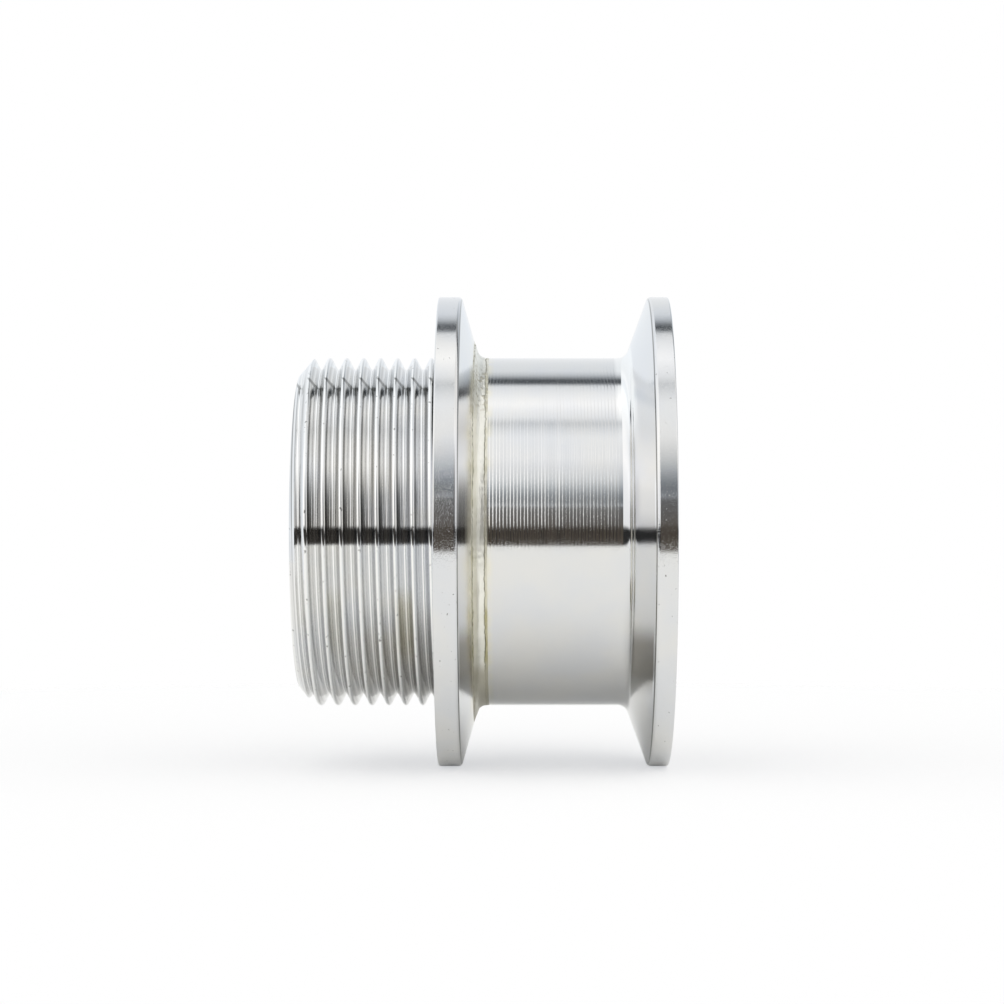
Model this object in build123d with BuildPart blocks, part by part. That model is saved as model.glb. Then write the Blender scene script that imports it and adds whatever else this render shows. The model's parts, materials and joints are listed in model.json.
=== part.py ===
from build123d import *
import os
from math import radians, tan

# Sanitary clamp adapter in stainless steel: a turned flange with a male pipe thread,
# butt welded to a turned clamp ferrule. Z is the bore axis, the clamp face is at Z = 0,
# and the thread points up. X and Y are measured from the bore axis.

# Driving dimensions, in mm, with angles in degrees
flange_dia = 64.0       # both flanges, the 2 inch clamp size
clamp_rim_length = 2.7  # clamp face to the corner where the clamp flange's back starts
thread_rim_length = 3.1  # shoulder to the corner where the threaded flange's back starts
rim_face_round = 0.2    # edge between each rim and its face
rim_back_round = 0.6    # edge between each rim and its sloping back
clamp_slope = 20.0      # back of the clamp flange, where the clamp's jaws wedge on
back_slope = 15.7       # back of the threaded flange
body_length = 31.1      # clamp face to the shoulder that the thread stands on
spigot_length = 18.9    # shoulder to the thread's free end
tube_dia = 47.4         # outside of the short tube between the flanges
tube_wall = 1.7
foot_round = 1.6        # fillet where the clamp flange runs into the tube

# Male pipe thread G 1 1/2, 55 degree form, at the low limit of its major diameter
thread_dia = 47.46
thread_pitch = 2.309
thread_angle = 55.0
root_clearance = 0.1    # cut this much deeper than the form
root_flat = 0.36        # width of the groove's bottom
groove_start = 2.409    # the groove's middle starts this far under the shoulder, at +X
thread_collar = 0.3     # plain ring that the groove leaves at the shoulder
spigot_wall = 2.15      # metal between the thread's root and the bore
lead_length = 2.0       # lead chamfer at the free end, along the axis
lead_under = 0.75       # its small end lies this far below the thread's root
bore_break = 0.4        # chamfer on the bore's edge at the free end

# Gasket groove in the clamp face
groove_dia = 56.3
groove_depth = 1.6
groove_round = 2.0      # radius of the groove's section

# Butt weld between the two turned pieces
weld_half_width = 0.7   # half the opening of the groove that both pieces share
weld_depth = 1.1
weld_cover = 0.12       # metal over the corner between the tube and the flange's back
weld_round = 1.0        # the bead's hollow in that corner
weld_climb = 2.3        # how far out the bead washes over the flange's back

# Sizes that follow from the ones above
flange_r = flange_dia / 2
tube_r = tube_dia / 2
tube_bore_r = tube_r - tube_wall
thread_r = thread_dia / 2
thread_depth = 0.64 * thread_pitch + root_clearance  # 0.64 of the pitch is the form's own depth
flank_slope = tan(radians(thread_angle / 2))
root_r = thread_r - thread_depth
spigot_bore_r = root_r - spigot_wall
lead_r = root_r - lead_under
top_z = body_length + spigot_length
clamp_foot_z = clamp_rim_length + (flange_r - tube_r) * tan(radians(clamp_slope))
rim_foot_z = body_length - thread_rim_length
back_foot_z = rim_foot_z - (flange_r - tube_r) * tan(radians(back_slope))
seam_z = back_foot_z - weld_half_width

os.makedirs("parts", exist_ok=True)

# Clamp ferrule: flange and tube turned as one piece, from the clamp face to the weld seam
with BuildPart() as clamp_ferrule:
    with BuildSketch(Plane.XZ) as section:
        with BuildLine():
            Polyline(
                (tube_bore_r, 0),
                (flange_r, 0),
                (flange_r, clamp_rim_length),
                (tube_r, clamp_foot_z),
                (tube_r, seam_z - weld_half_width),
                (tube_r - weld_depth, seam_z),
                (tube_bore_r, seam_z),
                close=True,
            )
        make_face()
        fillet(section.vertices().sort_by_distance((flange_r, 0))[0], rim_face_round)
        fillet(section.vertices().sort_by_distance((flange_r, clamp_rim_length))[0], rim_back_round)
        fillet(section.vertices().sort_by_distance((tube_r, clamp_foot_z))[0], foot_round)
    revolve(axis=Axis.Z)

    # the gasket's bead sits in a round-bottomed ring, cut to its depth from the face
    with BuildSketch(Plane.XZ):
        with Locations((groove_dia / 2, groove_depth - groove_round)):
            Circle(groove_round)
    revolve(axis=Axis.Z, mode=Mode.SUBTRACT)

clamp_ferrule.part.label = "clamp_ferrule"
export_step(clamp_ferrule.part, "parts/clamp_ferrule.step")


# Threaded flange: the spigot is threaded first, and the flange and its collar then close the
# thread's lower end
with BuildPart() as threaded_flange:
    with BuildSketch(Plane.XZ):
        with BuildLine():
            Polyline(
                (spigot_bore_r, rim_foot_z),
                (thread_r, rim_foot_z),
                (thread_r, top_z - lead_length),
                (lead_r, top_z),
                (spigot_bore_r + bore_break, top_z),
                (spigot_bore_r, top_z - bore_break),
                close=True,
            )
        make_face()
    revolve(axis=Axis.Z)

    # right-hand groove, cut from under the shoulder to clear of the free end
    cut_depth = 1.15 * thread_depth
    cut_half = root_flat / 2 + cut_depth * flank_slope
    with BuildLine():
        groove = Helix(
            pitch=thread_pitch,
            height=spigot_length + 2 * thread_pitch,
            radius=root_r,
            center=(0, 0, body_length - groove_start),
        )
    with BuildSketch(Plane(origin=groove @ 0, x_dir=(1, 0, 0), z_dir=groove % 0)):
        with BuildLine():
            Polyline(
                (0, -root_flat / 2),
                (cut_depth, -cut_half),
                (cut_depth, cut_half),
                (0, root_flat / 2),
                close=True,
            )
        make_face()
    sweep(path=groove, is_frenet=True, mode=Mode.SUBTRACT)

    # flange, with its sloping back, its half of the weld groove and the taper in its bore
    with BuildSketch(Plane.XZ) as section:
        with BuildLine():
            Polyline(
                (tube_bore_r, seam_z),
                (tube_r - weld_depth, seam_z),
                (tube_r, back_foot_z),
                (flange_r, rim_foot_z),
                (flange_r, body_length),
                (thread_r, body_length),
                (thread_r, body_length + thread_collar),
                (spigot_bore_r, body_length + thread_collar),
                (spigot_bore_r, rim_foot_z),
                (tube_bore_r, rim_foot_z - (tube_bore_r - spigot_bore_r)),
                close=True,
            )
        make_face()
        fillet(section.vertices().sort_by_distance((flange_r, body_length))[0], rim_face_round)
        fillet(section.vertices().sort_by_distance((flange_r, rim_foot_z))[0], rim_back_round)
    revolve(axis=Axis.Z)

threaded_flange.part.label = "threaded_flange"
export_step(threaded_flange.part, "parts/threaded_flange.step")


# Weld bead: fills the groove round the seam, rounds the corner and washes up the flange's back
with BuildPart() as weld_bead:
    climb_z = weld_climb * tan(radians(back_slope))
    with BuildSketch(Plane.XZ) as section:
        with BuildLine():
            Polyline(
                (tube_r, seam_z - weld_half_width),
                (tube_r - weld_depth, seam_z),
                (tube_r, back_foot_z),
                (tube_r + weld_climb, back_foot_z + climb_z),
                (tube_r + weld_cover, back_foot_z - weld_cover),
                close=True,
            )
        make_face()
        corner = (tube_r + weld_cover, back_foot_z - weld_cover)
        fillet(section.vertices().sort_by_distance(corner)[0], weld_round)
    revolve(axis=Axis.Z)

weld_bead.part.label = "weld_bead"
export_step(weld_bead.part, "parts/weld_bead.step")
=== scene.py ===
import json
import bpy
import numpy as np
from mathutils import Matrix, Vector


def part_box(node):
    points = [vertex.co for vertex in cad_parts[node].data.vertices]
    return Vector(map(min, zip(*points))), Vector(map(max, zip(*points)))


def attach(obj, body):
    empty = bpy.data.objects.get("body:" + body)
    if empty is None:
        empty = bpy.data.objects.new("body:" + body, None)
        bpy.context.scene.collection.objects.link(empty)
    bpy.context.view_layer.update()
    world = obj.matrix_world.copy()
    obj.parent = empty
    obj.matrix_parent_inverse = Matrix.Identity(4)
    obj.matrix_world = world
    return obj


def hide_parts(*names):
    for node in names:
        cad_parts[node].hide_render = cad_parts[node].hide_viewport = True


# Sanitary clamp adapter: a turned ferrule, a weld bead and a turned flange with a male pipe thread.
# It stands on its clamp face with the bore along +Z, and the camera is rolled a quarter turn, so the
# picture shows it lying on the rims of its flanges, as the photograph does.

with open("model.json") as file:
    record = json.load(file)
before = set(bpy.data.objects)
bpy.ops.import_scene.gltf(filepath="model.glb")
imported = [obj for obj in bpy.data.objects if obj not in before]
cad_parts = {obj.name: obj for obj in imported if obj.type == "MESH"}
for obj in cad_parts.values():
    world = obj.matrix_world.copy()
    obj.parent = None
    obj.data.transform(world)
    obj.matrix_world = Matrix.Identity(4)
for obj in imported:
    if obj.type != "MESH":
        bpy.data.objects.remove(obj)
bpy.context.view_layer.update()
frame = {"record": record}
mm = 0.001  # every size below is in millimetres, and the meshes are in metres
columns = 320  # faces round the bore
weldSteps = 2e4  # steps in a millimetre, to which points are rounded before they are welded
sharpLean = 0.6  # cosine under which a corner's normal gives way to its face's
ferruleLow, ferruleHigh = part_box("clamp_ferrule")
threadLow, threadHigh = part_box("threaded_flange")
mounts = {mount["name"]: mount for mount in frame["record"]["mounts"]}
flangeRadius = ferruleHigh.x / mm
topHeight = threadHigh.z / mm
shoulderHeight = mounts["shoulder_face"]["pos_m"][2] / mm
seamHeight = ferruleHigh.z / mm
tubeBore = mounts["ferrule_bore"]["dims"]["r_mm"]
taperFoot = mounts["ferrule_bore"]["dims"]["length_mm"]
spigotBore = mounts["spigot_bore"]["dims"]["r_mm"]
threadRadius = mounts["male_thread"]["dims"]["r_mm"]
print("frame loaded, flange radius", round(flangeRadius, 2), "mm")


# An outline of straight runs joined by round corners. A corner is (radius, height, rounding). The
# tangent length at a corner is rounding * tan(half its turn), and the arc's normals turn evenly from
# one run's normal to the next one's. Gives the points, and the normals on the left of the path.
def roundedOutline(corners, steps=6):
    spots = np.array([corner[:2] for corner in corners], float)
    rounding = np.array([corner[2] if len(corner) > 2 else 0 for corner in corners], float)
    ahead = np.roll(spots, -1, axis=0) - spots
    ahead /= np.maximum(np.linalg.norm(ahead, axis=1, keepdims=True), 1e-12)
    behind = np.roll(ahead, 1, axis=0)
    behind[0] = ahead[0]
    ahead[-1] = behind[-1]
    turn = np.arctan2(
        behind[:, 0] * ahead[:, 1] - behind[:, 1] * ahead[:, 0], (behind * ahead).sum(axis=1)
    )
    start = spots - behind * (rounding * np.tan(np.abs(turn) / 2))[:, None]
    share = np.linspace(0, 1, steps)
    angle = np.arctan2(behind[:, 1], behind[:, 0])[:, None] + turn[:, None] * share
    side = np.sign(turn)[:, None]
    normals = np.stack([-np.sin(angle), np.cos(angle)], axis=-1)
    centre = start + (normals[:, 0] * side * rounding[:, None])
    points = centre[:, None, :] - normals * (side * rounding[:, None])[:, :, None]
    return points.reshape(-1, 2), normals.reshape(-1, 2)


# A turned surface: the outline carried round the bore, (r cos a, r sin a, z) for a from 0 to 360 degrees
def latheGrid(points, normals, count=columns):
    around = np.linspace(0, 2 * np.pi, count + 1)
    spin = np.stack([np.cos(around), np.sin(around)])
    spin[:, -1] = spin[:, 0]
    flat = np.ones_like(around)
    place = [points[:, :1] * spin[0], points[:, :1] * spin[1], points[:, 1:] * flat]
    facing = [normals[:, :1] * spin[0], normals[:, :1] * spin[1], normals[:, 1:] * flat]
    return np.stack(place, axis=-1), np.stack(facing, axis=-1)


# One mesh from several grids. Points at the same place are welded, faces that the weld leaves with
# no area are dropped, each grid's faces turn the way most of its normals do, and every corner keeps
# its own exact normal, unless its face bridges a sharp edge and takes the face's normal.
def weldedMesh(name, grids):
    spots = np.concatenate([place.reshape(-1, 3) for place, facing in grids])
    facings = np.concatenate([facing.reshape(-1, 3) for place, facing in grids])
    facings /= np.linalg.norm(facings, axis=1, keepdims=True)
    quads = []
    offset = 0
    for place, facing in grids:
        rows, cols = place.shape[:2]
        index = np.arange(rows * cols).reshape(rows, cols) + offset
        quad = np.stack([index[:-1, :-1], index[:-1, 1:], index[1:, 1:], index[1:, :-1]], axis=-1)
        cross = np.cross(place[1:, 1:] - place[:-1, :-1], place[1:, :-1] - place[:-1, 1:])
        facesIn = (cross * facing[:-1, :-1]).sum() < 0
        quads.append(quad.reshape(-1, 4)[:, :: -1 if facesIn else 1])
        offset += rows * cols
    quads = np.concatenate(quads)
    steps = np.round(spots * weldSteps).astype(np.int64)
    unique, first, inverse = np.unique(steps, axis=0, return_index=True, return_inverse=True)
    welded = spots[first]
    vertexOf = inverse.reshape(-1)
    corners = vertexOf[quads]
    split = np.concatenate([quads[:, [0, 1, 2]], quads[:, [0, 2, 3]]])
    whole = np.ones(len(quads), bool)
    for a, b in ((0, 1), (1, 2), (2, 3), (3, 0), (0, 2), (1, 3)):
        whole &= corners[:, a] != corners[:, b]
    loose = ~np.concatenate([whole, whole])
    three = vertexOf[split]
    loose &= (three[:, 0] != three[:, 1]) & (three[:, 1] != three[:, 2]) & (three[:, 2] != three[:, 0])
    loops, turned, sizes = [], [], []
    for group in (quads[whole], split[loose]):
        at = welded[vertexOf[group]]
        faceNormal = np.cross(at[:, 2] - at[:, 0], at[:, -1] - at[:, 1])
        faceNormal /= np.linalg.norm(faceNormal, axis=1, keepdims=True)
        corner = facings[group]
        leans = (corner * faceNormal[:, None]).sum(axis=2).min(axis=1) < sharpLean
        corner[leans] = faceNormal[leans][:, None]
        loops.append(group.reshape(-1))
        turned.append(corner.reshape(-1, 3))
        sizes.append(np.full(len(group), group.shape[1]))
    loops = np.concatenate(loops)
    sizes = np.concatenate(sizes)
    mesh = bpy.data.meshes.new(name)
    mesh.vertices.add(len(welded))
    mesh.vertices.foreach_set("co", (welded * mm).ravel())
    mesh.loops.add(len(loops))
    mesh.loops.foreach_set("vertex_index", vertexOf[loops].astype(np.int32))
    mesh.polygons.add(len(sizes))
    starts = np.concatenate([[0], np.cumsum(sizes)[:-1]]).astype(np.int32)
    mesh.polygons.foreach_set("loop_start", starts)
    mesh.polygons.foreach_set("use_smooth", np.ones(len(sizes), bool))
    mesh.update(calc_edges=True)
    mesh.validate()
    mesh.normals_split_custom_set(np.concatenate(turned).tolist())
    piece = bpy.data.objects.new(name, mesh)
    bpy.context.scene.collection.objects.link(piece)
    print(name, "has", int((sizes - 2).sum()), "triangles")
    return piece


# Clamp ferrule: the clamp flange and its tube, one turned piece
ferrule = {
    "tubeRadius": 23.7,
    "rimLength": 2.7,
    "faceRound": 0.2,
    "backRound": 0.6,
    "slope": 20.0,
    "footRound": 1.6,
    "weldHalf": 0.7,  # half the opening of the weld's groove
    "weldDepth": 1.1,
    "gasketRadius": 28.15,  # middle of the gasket's ring groove
    "gasketDepth": 1.6,
    "gasketRound": 2.0,
    "edgeBreak": 0.12,  # broken edges that the solids leave sharp
    "grooveRows": 24,
}


def makeFerrule():
    f = ferrule
    footHeight = f["rimLength"] + (flangeRadius - f["tubeRadius"]) * np.tan(np.radians(f["slope"]))
    half = np.sqrt(f["gasketRound"] ** 2 - (f["gasketRound"] - f["gasketDepth"]) ** 2)
    outer = [
        (tubeBore, seamHeight),
        (f["tubeRadius"] - f["weldDepth"], seamHeight),
        (f["tubeRadius"], seamHeight - f["weldHalf"]),
        (f["tubeRadius"], footHeight, f["footRound"]),
        (flangeRadius, f["rimLength"], f["backRound"]),
        (flangeRadius, 0, f["faceRound"]),
        (f["gasketRadius"] + half, 0),
    ]
    inner = [
        (f["gasketRadius"] - half, 0),
        (tubeBore, 0, f["edgeBreak"]),
        (tubeBore, seamHeight),
    ]
    swing = np.arcsin(half / f["gasketRound"])
    angle = np.linspace(-swing, swing, f["grooveRows"])
    radius = f["gasketRadius"] - f["gasketRound"] * np.sin(angle)
    height = f["gasketDepth"] - f["gasketRound"] + f["gasketRound"] * np.cos(angle)
    groove = np.stack([radius, height], axis=-1)
    grooveNormal = np.stack([np.sin(angle), -np.cos(angle)], axis=-1)
    parts = [roundedOutline(outer), (groove, grooveNormal), roundedOutline(inner)]
    return weldedMesh("ferrule_body", [latheGrid(*part) for part in parts])


# Threaded flange: the flange and its spigot, with the thread's real form, round at root and crest
threaded = {
    "rimLength": 3.1,
    "faceRound": 0.2,
    "backRound": 0.6,
    "slope": 15.7,
    "pitch": 2.309,
    "flankAngle": 27.5,
    "rootRound": 0.238,
    "crestRound": 0.31,
    "depth": 1.579,
    "firstGroove": 28.691,  # height of the groove's middle at +X, under the shoulder
    "collar": 0.3,
    "leadLength": 2.0,
    "leadUnder": 0.75,
    "boreBreak": 0.4,
}

# height at which the threaded flange's back meets the tube
backFoot = shoulderHeight - threaded["rimLength"] - (flangeRadius - ferrule["tubeRadius"]) * np.tan(
    np.radians(threaded["slope"])
)


# Depth of the thread under its crest, and the slope of that depth, over one pitch from the middle of
# a groove: an arc at the root, a straight flank and an arc at the crest. The rows lie close together
# in the arcs.
def threadForm():
    t = threaded
    flank = np.radians(t["flankAngle"])
    half = t["pitch"] / 2
    rootHalf = t["rootRound"] * np.cos(flank)
    crestHalf = t["crestRound"] * np.cos(flank)
    rise = t["rootRound"] * (1 - np.sin(flank))
    fall = t["crestRound"] * (1 - np.sin(flank))
    rootTurn = np.linspace(0, np.pi / 2 - flank, 5)
    rootAt = t["rootRound"] * np.sin(rootTurn)
    rootUp = t["rootRound"] * (1 - np.cos(rootTurn))
    crestTurn = np.linspace(np.pi / 2 - flank, 0, 4)
    crestAt = half - t["crestRound"] * np.sin(crestTurn)
    crestUp = t["depth"] - t["crestRound"] * (1 - np.cos(crestTurn))
    share = np.array([0.25, 0.5, 0.75])
    flankAt = rootHalf + (half - crestHalf - rootHalf) * share
    flankUp = rise + (t["depth"] - fall - rise) * share
    across = np.concatenate([rootAt, flankAt, crestAt])
    up = np.concatenate([rootUp, flankUp, crestUp])
    steep = np.concatenate([np.tan(rootTurn), share * 0 + 1 / np.tan(flank), np.tan(crestTurn)])
    across = np.concatenate([across, (t["pitch"] - across[-2:0:-1])])
    up = np.concatenate([up, up[-2:0:-1]])
    steep = np.concatenate([steep, -steep[-2:0:-1]])
    return across, t["depth"] - up, -steep


# The thread: radius = crest - depth(z - pitch * a / 360 degrees), held under the lead chamfer's cone,
# with each row kept above the collar at the shoulder. The rows of the grid follow the helix, so the
# last column is the first one, some rows on.
def threadGrid():
    t = threaded
    across, depth, steep = threadForm()
    perTurn = len(across)
    turns = int(np.ceil((topHeight - shoulderHeight) / t["pitch"])) + 2
    row = np.arange(turns * perTurn + 1)
    around = np.linspace(0, 2 * np.pi, columns + 1)
    climb = t["pitch"] * around / (2 * np.pi)
    base = t["firstGroove"] - t["pitch"] + (row // perTurn) * t["pitch"] + across[row % perTurn]
    height = base[:, None] + climb
    radius = threadRadius - depth[row % perTurn][:, None] + 0 * height
    slope = -steep[row % perTurn][:, None] + 0 * height
    collarTop = shoulderHeight + t["collar"]
    phase = (collarTop - climb - t["firstGroove"]) % t["pitch"]
    oneTurn = np.append(across, t["pitch"])
    collarRadius = threadRadius - np.interp(phase, oneTurn, np.append(depth, depth[0]))
    collarSlope = -np.interp(phase, oneTurn, np.append(steep, steep[0]))
    below = height < collarTop
    radius = np.where(below, collarRadius, radius)
    slope = np.where(below, collarSlope, slope)
    leadSlope = (t["depth"] + t["leadUnder"]) / t["leadLength"]
    cone = threadRadius - (height - topHeight + t["leadLength"]) * leadSlope
    onCone = cone < radius
    radius = np.where(onCone, cone, radius)
    twist = np.where(onCone, 0, -slope * t["pitch"] / (2 * np.pi))
    slope = np.where(onCone, -leadSlope, slope)
    radius = np.maximum(radius, threadRadius - leadSlope * t["leadLength"])
    height = np.clip(height, collarTop, topHeight)
    cosine, sine = np.cos(around), np.sin(around)
    place = np.stack([radius * cosine, radius * sine, height], axis=-1)
    facing = np.stack(
        [radius * cosine + twist * sine, radius * sine - twist * cosine, -radius * slope], axis=-1
    )
    # the collar's flat top runs from the thread's own outline at that height out to its rim
    ringRadius = np.stack([threadRadius + 0 * around, collarRadius])
    ring = np.stack([ringRadius * cosine, ringRadius * sine, collarTop + 0 * ringRadius], axis=-1)
    up = np.zeros_like(ring)
    up[..., 2] = 1
    side = np.array([[threadRadius, shoulderHeight], [threadRadius, collarTop]])
    out = np.array([[1.0, 0.0], [1.0, 0.0]])
    return [(place, facing), (ring, up), latheGrid(side, out)]


def makeThreaded():
    t = threaded
    leadRadius = threadRadius - t["depth"] - t["leadUnder"]
    body = [
        (threadRadius, shoulderHeight),
        (flangeRadius, shoulderHeight, t["faceRound"]),
        (flangeRadius, shoulderHeight - t["rimLength"], t["backRound"]),
        (ferrule["tubeRadius"], backFoot),
        (ferrule["tubeRadius"] - ferrule["weldDepth"], seamHeight),
        (tubeBore, seamHeight),
        (tubeBore, taperFoot),
        (spigotBore, taperFoot + tubeBore - spigotBore),
        (spigotBore, topHeight - t["boreBreak"]),
        (spigotBore + t["boreBreak"], topHeight),
        (leadRadius, topHeight),
    ]
    points, normals = roundedOutline(body)
    return weldedMesh("thread_body", [latheGrid(points, normals), *threadGrid()])


# Weld bead: fills the groove round the seam, with a hollow corner and an uneven, streaky face
bead = {
    "climb": 2.3,  # how far out it washes over the flange's back
    "cover": 0.12,
    "round": 1.0,
    "ripple": 0.035,
    "edge": 0.12,  # share of its face, on either side, over which the ripples fade out
    "rows": 34,
    "columns": 960,
    # slow waves, streaks and scales: orders, waves across the face, their spread, seed and weight
    "waves": (
        (range(3, 40, 3), 9, 1.2, 5, 0.55),
        (range(2, 30, 3), 60, 0.9, 11, 0.5),
        (range(60, 200, 11), 14, 1.5, 3, 0.3),
    ),
}


# Smooth random waves round the bore: a sum of cosines of whole-number orders with random phases
def ringNoise(around, along, orders, reach, seed):
    random = np.random.default_rng(seed)
    total = np.zeros(np.broadcast(around, along).shape)
    for order in orders:
        phase = random.uniform(0, 2 * np.pi)
        drift = random.normal(0, reach)
        weight = random.uniform(0.4, 1)
        total += weight * np.cos(order * around + phase + drift * along)
    return total / np.sqrt(len(orders) / 2)


def makeBead():
    b = bead
    tube = ferrule["tubeRadius"]
    climbHeight = backFoot + b["climb"] * np.tan(np.radians(threaded["slope"]))
    points, normals = roundedOutline(
        [
            (tube, seamHeight - ferrule["weldHalf"]),
            (tube + b["cover"], backFoot - b["cover"], b["round"]),
            (tube + b["climb"], climbHeight),
        ],
        steps=14,
    )
    keep = np.concatenate([[True], np.linalg.norm(np.diff(points, axis=0), axis=1) > 1e-6])
    points, normals = points[keep], normals[keep]
    run = np.concatenate([[0], np.cumsum(np.linalg.norm(np.diff(points, axis=0), axis=1))])
    length = run[-1]
    fine = np.linspace(0, length, b["rows"])
    points = np.stack([np.interp(fine, run, points[:, k]) for k in (0, 1)], axis=-1)
    normals = np.stack([np.interp(fine, run, normals[:, k]) for k in (0, 1)], axis=-1)
    normals /= np.linalg.norm(normals, axis=1, keepdims=True)
    if normals[0, 0] < 0:
        normals = -normals
    place, facing = latheGrid(points, normals, b["columns"])
    around = np.linspace(0, 2 * np.pi, b["columns"] + 1)[None, :]
    along = (fine / length)[:, None]
    edge = np.clip(np.minimum(along, 1 - along) / b["edge"], 0, 1)
    waves = sum(
        weight * ringNoise(around, along * count, orders, reach, seed)
        for orders, count, reach, seed, weight in b["waves"]
    )
    lift = b["ripple"] * edge * waves
    place = place + facing * lift[:, :, None]
    place[:, -1] = place[:, 0]
    acrossStep = np.gradient(place, axis=0)
    aroundStep = np.empty_like(place)
    ring = place[:, :-1]
    aroundStep[:, :-1] = np.roll(ring, -1, axis=1) - np.roll(ring, 1, axis=1)
    aroundStep[:, -1] = aroundStep[:, 0]
    normal = np.cross(aroundStep, acrossStep)
    normal *= np.sign((normal * facing).sum(axis=-1, keepdims=True))
    under, underNormal = roundedOutline(
        [
            (tube + b["climb"], climbHeight),
            (tube, backFoot),
            (tube - ferrule["weldDepth"], seamHeight),
            (tube, seamHeight - ferrule["weldHalf"]),
        ]
    )
    if underNormal[-1, 0] > 0:
        underNormal = -underNormal
    back = latheGrid(under, underNormal, b["columns"])
    return weldedMesh("bead_ring", [(place, normal), back])


ferruleBody = makeFerrule()
threadBody = makeThreaded()
beadRing = makeBead()
print("pieces made")


# A socket that can stand in sums: each operator adds the Math node that it names
class Wire:
    def __init__(self, graph, socket):
        self.graph = graph
        self.socket = socket

    def __add__(self, other):
        return self.graph.maths("ADD", self, other)

    def __sub__(self, other):
        return self.graph.maths("SUBTRACT", self, other)

    def __rsub__(self, other):
        return self.graph.maths("SUBTRACT", other, self)

    def __mul__(self, other):
        return self.graph.maths("MULTIPLY", self, other)

    def __truediv__(self, other):
        return self.graph.maths("DIVIDE", self, other)

    def __pow__(self, other):
        return self.graph.maths("POWER", self, other)

    def __neg__(self):
        return self.graph.maths("MULTIPLY", self, -1)

    def __abs__(self):
        return self.graph.maths("ABSOLUTE", self)

    __radd__ = __add__
    __rmul__ = __mul__


# A node tree. One method adds any node: its type, its settings, the values or links of its sockets,
# and the output that is wanted, or a tuple of several.
class Graph:
    def __init__(self, tree):
        self.tree = tree
        tree.nodes.clear()

    def add(self, kind, settings=None, values=None, output=0):
        node = self.tree.nodes.new(kind)
        for name, value in (settings or {}).items():
            if name == "stops":
                self.setStops(node.color_ramp, value)
            else:
                setattr(node, name, value)
        for name, value in (values or {}).items():
            socket = self.find(node.inputs, name)
            if isinstance(value, Wire):
                self.tree.links.new(value.socket, socket)
            elif socket.type == "RGBA":
                socket.default_value = (*value, 1)
            else:
                socket.default_value = value
        if isinstance(output, tuple):
            return [Wire(self, self.find(node.outputs, name)) for name in output]
        return Wire(self, self.find(node.outputs, output)) if node.outputs else None

    def find(self, sockets, name):
        if isinstance(name, int):
            return sockets[name]
        return [socket for socket in sockets if socket.name == name and socket.enabled][0]

    def setStops(self, ramp, stops):
        while len(ramp.elements) > 1:
            ramp.elements.remove(ramp.elements[-1])
        for number, (position, colour) in enumerate(stops):
            stop = ramp.elements[0] if number == 0 else ramp.elements.new(position)
            stop.position = position
            stop.color = (*colour, 1)

    def maths(self, operation, *values):
        return self.add("ShaderNodeMath", {"operation": operation}, dict(enumerate(values)))

    def mix(self, share, first, second):
        values = {"Factor": share, "A": first, "B": second}
        return self.add("ShaderNodeMix", {"data_type": "RGBA"}, values, "Result")

    def noise(self, scale, detail, vector=None, w=None):
        settings = {"noise_dimensions": "3D" if w is None else "1D" if vector is None else "4D"}
        values = {"Scale": scale, "Detail": detail}
        if vector is not None:
            values["Vector"] = vector
        if w is not None:
            values["W"] = w
        return self.add("ShaderNodeTexNoise", settings, values, "Fac")

    # 0 at low and 1 at high, with a smooth step between
    def step(self, value, low, high):
        values = {"Value": value, "From Min": low, "From Max": high}
        return self.add("ShaderNodeMapRange", {"interpolation_type": "SMOOTHSTEP"}, values, "Result")

    # 1 on the value in the middle, 0 from half away
    def near(self, value, middle, half):
        return self.step(abs(value - middle), half, half * 0.3)

    # The sum of several such lines, each (middle, half width, strength)
    def lines(self, value, marks):
        return sum(strength * self.near(value, middle, half) for middle, half, strength in marks)

    # The normal of a surface that is raised by this height in mm
    def bump(self, height):
        values = {"Strength": 1.0, "Distance": 1.0, "Height": height * mm}
        return self.add("ShaderNodeBump", values=values, output="Normal")

    # A shader of this kind, joined to the tree's output
    def finish(self, kind, values, output):
        shader = self.add(kind, values=values)
        self.add(output, values={"Surface": shader})


# A new material, with the graph of its emptied node tree
def newMaterial(name):
    material = bpy.data.materials.new(name)
    material.use_nodes = True
    return material, Graph(material.node_tree)


# Object coordinates in millimetres, and the distance from the bore's axis
def readPlace(g):
    place = g.add("ShaderNodeTexCoord", output="Object")
    x, y, z = g.add("ShaderNodeSeparateXYZ", values={0: place}, output=(0, 1, 2))
    x, y, z = x / mm, y / mm, z / mm
    radius = (x * x + y * y) ** 0.5
    scaled = g.add(
        "ShaderNodeVectorMath", {"operation": "SCALE"}, {0: place, "Scale": 1 / mm}, "Vector"
    )
    return scaled, x, y, z, radius


# Where each surface of the steel lies: the radius over which its mask rises and the one over which it
# falls, then the same for the height, all in mm, and None where nothing bounds it
surfaces = {
    "tube": ((22.8, 23.2), (24.4, 24.0), (6.6, 7.6), (24.6, 24.3)),
    "rim": ((31.6, 31.8), None, None, None),
    "back": ((24.4, 24.7), (31.3, 31.1), (1.8, 2.4), (29.5, 28.8)),
    "fillet": ((23.5, 23.7), (25.6, 25.0), (4.2, 5.0), (7.6, 7.0)),
    "thread": ((21.2, 21.4), None, (shoulderHeight + 0.2, shoulderHeight + 0.4), None),
    "besideWeld": ((25.0, 25.4), (28.2, 25.9), (24.0, 25.0), (28.5, 28.0)),
}


# 1 on the surface and 0 off it: the product of a smooth step at each of its bounds
def onSurface(g, radius, height, name):
    mask = 1
    for value, bound in zip((radius, radius, height, height), surfaces[name]):
        if bound:
            mask = mask * g.step(value, *bound)
    return mask


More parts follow.
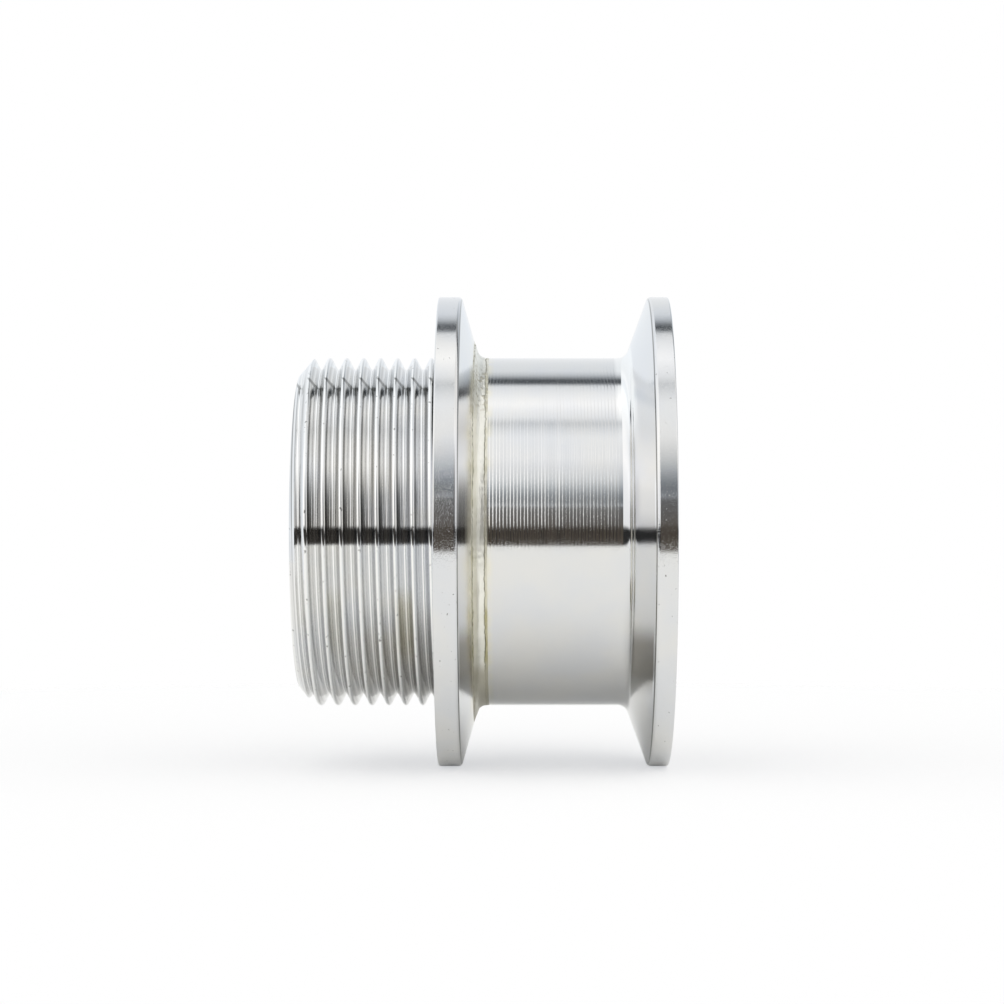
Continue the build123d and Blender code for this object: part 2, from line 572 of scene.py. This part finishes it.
# Turned stainless steel. The lathe's feed leaves rings of even spacing on the tube, finer ones on the
# rims, and rings in radius on the faces. Small nicks lie along the rims.
steel = {
    "colour": (0.83, 0.825, 0.81),
    "cool": (0.79, 0.80, 0.82),
    "tint": (0.86, 0.83, 0.72),  # left by the weld's heat
    # crest is the colour of painted highlights on the thread and the flanges
    "crest": (0.99, 0.99, 0.98),
    # dark is the colour of painted dark reflections on the thread and the rims' corners, and of the
    # thread's dents
    "dark": (0.20, 0.20, 0.19),
    # painted shade, low on the thread, and painted dark reflections on the backs
    "grime": (0.30, 0.28, 0.24),
    "stain": (0.50, 0.46, 0.30),
    "nick": (0.25, 0.24, 0.22),
    "roughness": 0.045,
    "tubeFeed": 0.45,  # mm from ring to ring
    "tubeDepth": 0.0040,  # this depth and those below are in mm
    "tubeFine": 0.0012,
    "fineDepth": 0.0015,
    "backDepth": 0.0040,
    "pitDepth": 0.0022,
    "nickDepth": 0.02,
    "shineHeight": (4.6, 4.4),  # middle and half width of the tube's painted highlight strip, by x
    "dullLow": (-16.6, 5.5),  # the same for the painted dark reflections on the backs, low down and by the strip
    "dullMiddle": (3.2, 5.5),
    "dullStrength": 0.92,
    "cornerLines": ((27.95, 0.11, 0.8), (2.75, 0.11, 0.8)),  # where each rim's back corner ends, by z: a painted dark reflection line
}

# Painted highlights and shade on the thread, with its stains and dents, mostly by the share of a pitch:
# the groove's middle is at 0.12 and the crest at 0.62.
# Each line is (middle, half width, strength).
threadLightAndMarks = {
    "grooveShare": 0.12,
    "crestShare": 0.62,
    "bright": ((0.67, 0.10, 1.0), (0.11, 0.055, 1.0), (0.33, 0.04, 0.8)),
    "dark": ((0.43, 0.04, 0.8), (0.24, 0.04, 0.6), (0.87, 0.10, 0.3)),
    "hookFoot": (19.2, 0.22),  # x in mm and share of a pitch where the painted dark reflection hook ends
    "hookSlope": 0.345,  # share of a pitch in a millimetre of x
    "hookBlots": ((0.20, 0.09, 1.0), (0.94, 0.06, 0.8)),
    "hookStem": ((0.86, 0.035, 0.5),),
    "hookStrength": 0.85,
    "clean": (0.67, 0.13),  # the strip that the painted shade leaves out
    "grimeStrength": 0.32,
    "stains": ((35.2, 1.6, 1.0), (44.2, 1.3, 0.6)),  # by z in mm
    "stainStrength": 0.28,
    "dentStrength": 0.8,
}


# Height of the turning marks and small damage in mm: a sine of the tube's feed that wavers along it,
# fine noise rings by height on all of it and by radius on the faces, less the pits and the nicks
def steelHeight(g, place, z, radius, nicks):
    onTube, onRim, onBack = (onSurface(g, radius, z, name) for name in ("tube", "rim", "back"))
    wobble = g.noise(0.5, 1.0, w=z)
    feed = g.maths("SINE", z * (2 * np.pi / steel["tubeFeed"]) + wobble * 2.0)
    rings = g.noise(9.0, 3.0, w=z) - 0.5
    faceRings = g.noise(7.0, 3.0, w=radius) - 0.5
    strength = g.noise(0.9, 2.0, w=z)
    turned = feed * steel["tubeDepth"] * (0.6 + 0.6 * strength) + rings * steel["tubeFine"]
    faced = faceRings * (steel["fineDepth"] + steel["backDepth"] * onBack)
    height = onTube * turned + (1 - onTube) * (rings * steel["fineDepth"] + faced)
    pits = g.step(g.noise(7.5, 1.0, vector=place), 0.52, 0.70) * (onRim + 0.5 * onTube)
    return height - pits * steel["pitDepth"] - nicks * steel["nickDepth"]


# Painted light on the thread: painted highlights along the crest and the foot, and fine painted dark
# reflection lines between them, fainter on the underside; a painted dark reflection hook under each crest
# near the top, on the camera's side, which runs from the crest down to the groove's middle; painted shade
# low down, towards the shoulder. Also two faint stains and dents in the crests.
# The share of a pitch is (z - first groove) / pitch - angle / 360 degrees.
def paintThread(g, colour, place, x, y, z, radius):
    t = threadLightAndMarks
    onThread = onSurface(g, radius, z, "thread")
    turned = g.maths("ARCTAN2", y, x) / (2 * np.pi)
    pitches = (z - threaded["firstGroove"]) / threaded["pitch"] - turned + t["grooveShare"]
    share = g.maths("FRACT", pitches)
    # painted highlight lines along the crest and the foot
    colour = g.mix(onThread * g.lines(share, t["bright"]), colour, steel["crest"])
    # painted dark reflection lines between them, fainter low down and near the top
    fade = (0.35 + 0.65 * g.step(x, -2, 2)) * (1 - 0.7 * g.step(x, 17.5, 20))
    colour = g.mix(onThread * g.lines(share, t["dark"]) * fade, colour, steel["dark"])
    # a painted dark reflection hook under each crest near the top, on the camera's side
    footHeight, footShare = t["hookFoot"]
    hook = g.near(share - t["hookSlope"] * (x - footHeight), footShare, 0.13)
    hook = hook * g.step(x, 18.8, 19.1) * g.step(x, 20.6, 20.3)
    hook = hook + g.lines(share, t["hookBlots"]) * g.near(x, 18.8, 1.0)
    hook = hook + g.lines(share, t["hookStem"]) * g.step(x, 13, 17) * g.step(x, 21, 20)
    colour = g.mix(t["hookStrength"] * onThread * hook * g.step(-y, 0, 6), colour, steel["dark"])
    # painted shade low down towards the shoulder, except on a strip by the crest
    grime = t["grimeStrength"] * g.step(x, -8, -16) * g.step(z, 50, 34)
    grime = grime * (1 - g.near(share, *t["clean"]))
    colour = g.mix(onThread * grime, colour, steel["grime"])
    stain = g.lines(z, t["stains"]) * g.near(x, -12.5, 6.0) * g.step(-y, 5, 12)
    colour = g.mix(t["stainStrength"] * stain, colour, steel["stain"])
    dents = g.step(g.noise(1.5, 2.0, vector=place), 0.66, 0.71)
    dents = dents * onThread * g.near(share, t["crestShare"], 0.13)
    return g.mix(t["dentStrength"] * dents, colour, steel["dark"])


# Painted highlights on the top of the fillet and on a strip of the tube, painted dark reflections on the
# backs beside that strip and low on the camera's side, and a painted dark reflection line where each
# rim's back corner ends
def paintFlanges(g, colour, x, y, z, radius):
    onTube, onBack, onFillet = (onSurface(g, radius, z, name) for name in ("tube", "back", "fillet"))
    # painted highlights on the fillet's top and a strip of the tube
    paintedHighlight = onFillet * g.step(x, 10, 18) + onTube * g.near(x, *steel["shineHeight"])
    colour = g.mix(paintedHighlight, colour, steel["crest"])
    # painted dark reflections on the backs, on the camera's side
    dull = steel["dullStrength"] * g.near(x, *steel["dullLow"])
    dull = dull + (0.25 + 0.3 * g.step(z, 10, 20)) * g.near(x, *steel["dullMiddle"])
    colour = g.mix(dull * onBack * g.step(-y, 4, 12), colour, steel["grime"])
    # a painted dark reflection line at each rim's back corner
    corner = g.lines(z, steel["cornerLines"]) * g.step(radius, 31.40, 31.50)
    return g.mix(corner, colour, steel["dark"])


def steelMaterial():
    material, g = newMaterial("turned_steel")
    place, x, y, z, radius = readPlace(g)
    nicks = g.step(g.noise(2.2, 3.0, vector=place), 0.70, 0.76) * onSurface(g, radius, z, "rim")
    cloud = g.noise(0.12, 3.0, vector=place)
    colour = g.mix(g.step(cloud, 0.3, 0.7), steel["colour"], steel["cool"])
    waver = g.noise(0.5, 3.0, vector=place)
    tint = onSurface(g, radius, z, "besideWeld")
    tint = tint + onSurface(g, radius, z, "tube") * g.step(z, 23.3, 24.2)
    colour = g.mix(tint * (0.2 + 0.8 * g.step(waver, 0.35, 0.7)), colour, steel["tint"])
    colour = paintThread(g, colour, place, x, y, z, radius)
    colour = paintFlanges(g, colour, x, y, z, radius)
    values = {
        "Base Color": g.mix(nicks, colour, steel["nick"]),
        "Metallic": 1.0,
        "Roughness": steel["roughness"] + 0.03 * cloud + 0.25 * nicks,
        "Normal": g.bump(steelHeight(g, place, z, radius, nicks)),
    }
    g.finish("ShaderNodeBsdfPrincipled", values, "ShaderNodeOutputMaterial")
    return material


# Weld metal: ivory, with fine streaks that run round the bore, a wavering dark line at each toe and
# a brown heat tint beyond it. The tint grows stronger towards the underside, the lowest part has painted
# shade, and the weld was closed near the top of the camera's side.
weld = {
    "colour": (0.97, 0.955, 0.88),
    "dull": (0.88, 0.87, 0.79),
    "tint": (0.50, 0.46, 0.27),
    "line": (0.13, 0.12, 0.08),
    # colour of the patch where the weld was closed, and of the painted shade on the bead's lowest part
    "scorched": (0.60, 0.57, 0.47),
    "outerToe": 25.55,  # radius of the line on the flange's back
    "innerToe": 24.62,  # height of the line on the tube
    "roughness": 0.30,
    "streakDepth": 0.034,
    "lineDepth": 0.03,
    "patchDepth": 0.12,
    "outerWaver": (0.9, 0.8),  # how far the toes waver in mm, in fine and in slow waves
    "innerWaver": (0.4, 0.35),
    "underHeights": (3, -14),  # x in mm over which the heat tint beyond the toes grows stronger towards the underside
    "scorchHeights": (-16.6, -19.0),  # and over which the lowest part gets painted shade
    "closedAt": (0.94, 0.3),  # middle and half width in radians, up from the camera's side
}


def weldMaterial():
    material, g = newMaterial("weld_metal")
    place, x, y, z, radius = readPlace(g)
    along = g.add("ShaderNodeCombineXYZ", values={0: 0.22 * x, 1: 0.22 * y, 2: 4.5 * z})
    streak = g.noise(1.0, 3.0, vector=along, w=4.5 * radius)
    cloud = g.noise(0.35, 3.0, vector=place)
    waver = g.noise(1.1, 3.0, vector=place) - 0.5
    slow = g.noise(0.2, 1.0, vector=place) - 0.5
    # how far a point lies past each toe, which waver
    outerFine, outerSlow = weld["outerWaver"]
    innerFine, innerSlow = weld["innerWaver"]
    outer = radius + outerFine * waver + outerSlow * slow - weld["outerToe"]
    inner = z + innerFine * waver + innerSlow * slow - weld["innerToe"]
    line = 1 - g.step(abs(outer), 0.04, 0.15) * g.step(abs(inner), 0.02, 0.10)
    beyond = g.step(outer, -0.45, -0.05) + g.step(inner, 0.15, -0.05)
    patchy = cloud + 0.5 * (streak - 0.5)
    colour = g.mix(g.step(patchy, 0.42, 0.72), weld["colour"], weld["dull"])
    under = g.step(x, *weld["underHeights"])
    tint = beyond * (0.15 + 0.35 * g.step(cloud, 0.4, 0.65) + 0.5 * under)
    colour = g.mix(tint, colour, weld["tint"])
    colour = g.mix(line * (0.35 + g.step(streak, 0.4, 0.6) * 0.5), colour, weld["line"])
    # painted shade on the bead's lowest part
    colour = g.mix(0.9 * g.step(x, *weld["scorchHeights"]), colour, weld["scorched"])
    closed = g.near(g.maths("ARCTAN2", x, -y), *weld["closedAt"])
    patch = g.noise(1.6, 3.0, vector=place)
    colour = g.mix(closed * g.step(patch, 0.5, 0.62), colour, weld["scorched"])
    height = (streak + 0.3 * cloud) * weld["streakDepth"] - weld["lineDepth"] * line
    height = height + weld["patchDepth"] * closed * patch
    values = {
        "Base Color": colour,
        "Metallic": 1.0,
        "Roughness": weld["roughness"] + 0.12 * streak + 0.2 * line,
        "Normal": g.bump(height),
    }
    g.finish("ShaderNodeBsdfPrincipled", values, "ShaderNodeOutputMaterial")
    return material


turnedSteel = steelMaterial()
weldMetal = weldMaterial()
for piece, node, material, slot in (
    (ferruleBody, "clamp_ferrule", turnedSteel, "stainless_steel"),
    (threadBody, "threaded_flange", turnedSteel, "stainless_steel"),
    (beadRing, "weld_bead", weldMetal, "weld_metal"),
):
    piece.data.materials.append(material)
    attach(piece, "root")
    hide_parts(node)
print("materials set")

# The studio round the part. A band is (angle up from the camera's side in degrees, light, warmth):
# positive angles rise to the ceiling, -90 is the floor under the part and 180 lies behind it. Straight
# ahead hangs a ceiling softbox. A bright window fills the thread's side, and the clamp's side is dim
# near the softbox and pale farther out. The camera and its dark stand are a band across all of it.
studio = {
    "bands": [
        (-180, 0.96, -0.2), (-164, 0.86, 0), (-12.4, 0.84, 0.2), (-11.2, 0.78, 0.4),  # floor in front
        (-10.3, 0.24, 1.4), (-9.3, 0.09, 2.1), (0.5, 0.055, 2.7),  # camera
        (2.5, 0.08, 2.2), (3.5, 0.11, 1.4),
        (15.6, 0.13, 0), (16.3, 0.26, -0.5), (17.2, 0.52, -0.6),  # front of the ceiling
        (18.1, 0.23, -0.8), (20.5, 0.19, -0.9), (24.5, 0.28, -1), (29.5, 0.47, -0.7), (34, 0.63, -0.4),
        (39, 0.75, -0.2), (46, 0.90, -0.1), (64, 0.96, -0.2), (70, 0.83, -0.3),
        (75.3, 0.65, -0.4), (80, 0.94, -0.2), (92, 1.14, 0),  # softbox
        (111.6, 0.86, -0.3), (113.4, 0.34, -0.8), (114.8, 0.09, -1.2), (119, 0.09, -1.2),  # its back edge
        (122, 0.34, -0.8), (126, 0.64, -0.6), (132, 0.82, -0.5), (180, 0.96, -0.2),
    ],
    "clampSide": [
        (-180, 0.96, -0.5), (-164, 0.76, 0), (-10.2, 0.85, 0),
        (-8.8, 0.04, 1), (2.5, 0.02, 1), (3.5, 0.10, 0.5), (10, 0.13, 0.2),
        (17, 0.17, 0), (25, 0.28, -0.2), (31, 0.46, 0), (37, 0.68, 0), (44, 0.94, 0), (50, 1.06, 0),
        (66, 0.96, 0), (78, 0.82, 0), (100, 1.0, 0), (109, 0.9, -0.3),
        (112, 0.07, -0.8), (123, 0.06, -0.8), (128, 0.45, -0.9),
        (140, 0.62, -0.8), (160, 0.84, -0.6), (180, 0.96, -0.5),
    ],
    "farWall": [
        (-180, 0.70, -0.4), (-10.2, 0.70, 0), (-8.8, 0.07, 1), (2.5, 0.05, 1), (4, 0.72, 0),
        (25, 0.82, 0), (50, 1.05, 0), (106, 0.95, 0), (114, 0.20, -0.5), (121, 0.20, -0.5),
        (130, 0.66, -0.5), (180, 0.70, -0.4),
    ],
    "threadSide": [
        (-180, 0.95, -0.5), (-164, 0.90, -0.3), (-10.2, 0.90, 0),
        (-8.8, 0.03, 0), (2.5, 0.015, 0), (3.5, 0.94, 0.1), (20, 1.0, 0.1),
        (35, 1.08, 0.1), (50, 1.19, 0.1), (66, 1.12, 0), (84, 1.02, -0.2), (108, 1.05, -0.3),
        (115, 0.92, -0.5), (121, 0.90, -0.5), (128, 0.98, -0.3), (138, 0.90, -0.4), (180, 0.95, -0.5),
    ],
    "warmth": 0.08,  # share of red that a warmth of 1 adds, and of blue that it takes away
    # how far along the bore a ray leans, as a sine, where each wall takes over
    "clampLean": (0.05, 0.12),
    "farLean": (0.55, 0.75),
    "threadLean": (0.05, 0.11),
    "edgeLean": (0.43, 0.37),  # and where the softened back edge ends
    "backEdge": (118, 14),  # the softbox's back edge: its angle and half its width, in degrees
    "softEdge": (0.36, 0.37, 0.38),  # its light near the part's own axis, on the clamp's side
    "frontLight": 0.6,  # how much more soft light comes from the camera's side than from behind
    "floorShadow": (0.46, 0.45, 0.43),  # the share of the floor's white that shadows take away
    "floorColour": (0.86, 0.86, 0.84),  # the floor as the metal mirrors it
    "floorGlow": 0.12,
    "floorReach": (195, 225),  # where the sheet fades out, in mm from the part
    "floorHalf": 0.5,  # half the sheet's width in metres
    "floorDrop": 0.03,  # gap in mm between the rims and the sheet
}


def bandStops(bands):
    stops = []
    for angle, light, warm in bands:
        shift = studio["warmth"] * warm
        stops.append(((angle + 180) / 360, (light * (1 + shift), light, light * (1 - shift))))
    return stops


# Two masks of the kind of ray: 1 on camera rays, and 1 on mirrored ones
def pictureRays(g):
    return g.add("ShaderNodeLightPath", output=("Is Camera Ray", "Is Glossy Ray"))


# Camera rays meet white and diffuse ones soft light. Mirrored ones meet the bands, by the share of a
# turn up from behind, atan2(x, -y) / 360 degrees + 1/2, and by how far they lean along the bore.
def makeWorld():
    world = bpy.data.worlds.new("studio")
    bpy.context.scene.world = world
    world.use_nodes = True
    g = Graph(world.node_tree)
    direction = g.add("ShaderNodeTexCoord", output="Generated")
    x, y, z = g.add("ShaderNodeSeparateXYZ", values={0: direction}, output=(0, 1, 2))
    share = g.maths("ARCTAN2", x, -y) / (2 * np.pi) + 0.5
    bands, clampSide, farWall, threadSide = (
        g.add("ShaderNodeValToRGB", {"stops": bandStops(studio[name])}, {"Fac": share}, "Color")
        for name in ("bands", "clampSide", "farWall", "threadSide")
    )
    angle, half = studio["backEdge"]
    edge = g.near(share, (angle + 180) / 360, half / 360) * g.step(-z, *studio["edgeLean"])
    clampSide = g.mix(0.9 * edge, clampSide, studio["softEdge"])
    seen = g.mix(g.step(-z, *studio["clampLean"]), bands, clampSide)
    seen = g.mix(g.step(-z, *studio["farLean"]), seen, farWall)
    seen = g.mix(g.step(z, *studio["threadLean"]), seen, threadSide)
    camera, glossy = pictureRays(g)
    light = 1 - studio["frontLight"] * y
    soft = g.add("ShaderNodeCombineColor", values={"Red": light, "Green": light, "Blue": light})
    colour = g.mix(camera, g.mix(glossy, soft, seen), (1, 1, 1))
    g.finish("ShaderNodeBackground", {"Color": colour, "Strength": 1.0}, "ShaderNodeOutputWorld")


# The floor that the rims lie on in the picture: a plain pale sheet under -X, seen from its upper
# side only and fading out at its edges, so it hides nothing in the other views
def makeFloor():
    half = studio["floorHalf"]
    drop = -(flangeRadius + studio["floorDrop"]) * mm
    middle = topHeight / 2
    corners = [
        (drop, a * half, middle * mm + b * half) for a, b in ((-1, -1), (1, -1), (1, 1), (-1, 1))
    ]
    mesh = bpy.data.meshes.new("floor")
    mesh.from_pydata(corners, [], [(0, 1, 2, 3)])
    floor = bpy.data.objects.new("floor", mesh)
    bpy.context.scene.collection.objects.link(floor)
    material, g = newMaterial("pale_floor")
    place, x, y, z, radius = readPlace(g)
    away = (y * y + (z - middle) * (z - middle)) ** 0.5
    camera, glossy = pictureRays(g)
    behind = g.add("ShaderNodeNewGeometry", output="Backfacing")
    paint = g.mix(glossy, studio["floorShadow"], studio["floorColour"])
    light = tuple(1 - share for share in studio["floorShadow"])
    diffuse = g.add("ShaderNodeBsdfDiffuse", values={"Color": paint})
    strength = camera + studio["floorGlow"] * glossy
    glow = g.add("ShaderNodeEmission", values={"Color": light, "Strength": strength})
    lit = g.add("ShaderNodeAddShader", values={0: diffuse, 1: glow})
    clear = g.add("ShaderNodeBsdfTransparent")
    gone = 1 - (1 - behind) * (1 - g.step(away, *studio["floorReach"]))
    g.finish("ShaderNodeMixShader", {0: gone, 1: lit, 2: clear}, "ShaderNodeOutputMaterial")
    mesh.materials.append(material)


# The camera looks along +Y, with +X up in the picture and +Z to its left. Its axis crosses the bore's
# and meets the picture off its middle, by a shift of the lens.
view = {
    "picture": 1004,  # pixels across
    "focal": 2884,  # focal length in the same pixels
    "axis": (525, 531.6),  # where the camera's axis meets the picture, in pixels across and down
    "place": (0, -0.395, 0.0194),  # in metres
    "sensor": 36,  # in millimetres
}


def makeCamera():
    v = view
    across, down = v["axis"]
    data = bpy.data.cameras.new("camera")
    data.sensor_width = v["sensor"]
    data.lens = v["sensor"] * v["focal"] / v["picture"]
    data.shift_x = -(across - v["picture"] / 2) / v["picture"]
    data.shift_y = (down - v["picture"] / 2) / v["picture"]
    data.clip_start = 0.01
    camera = bpy.data.objects.new("camera", data)
    bpy.context.scene.collection.objects.link(camera)
    turn = Matrix(((0, 1, 0), (0, 0, -1), (-1, 0, 0))).to_4x4()
    camera.matrix_world = Matrix.Translation(v["place"]) @ turn
    bpy.context.scene.camera = camera


makeWorld()
makeFloor()
makeCamera()
bpy.context.scene.view_settings.view_transform = "Standard"
print("studio set")
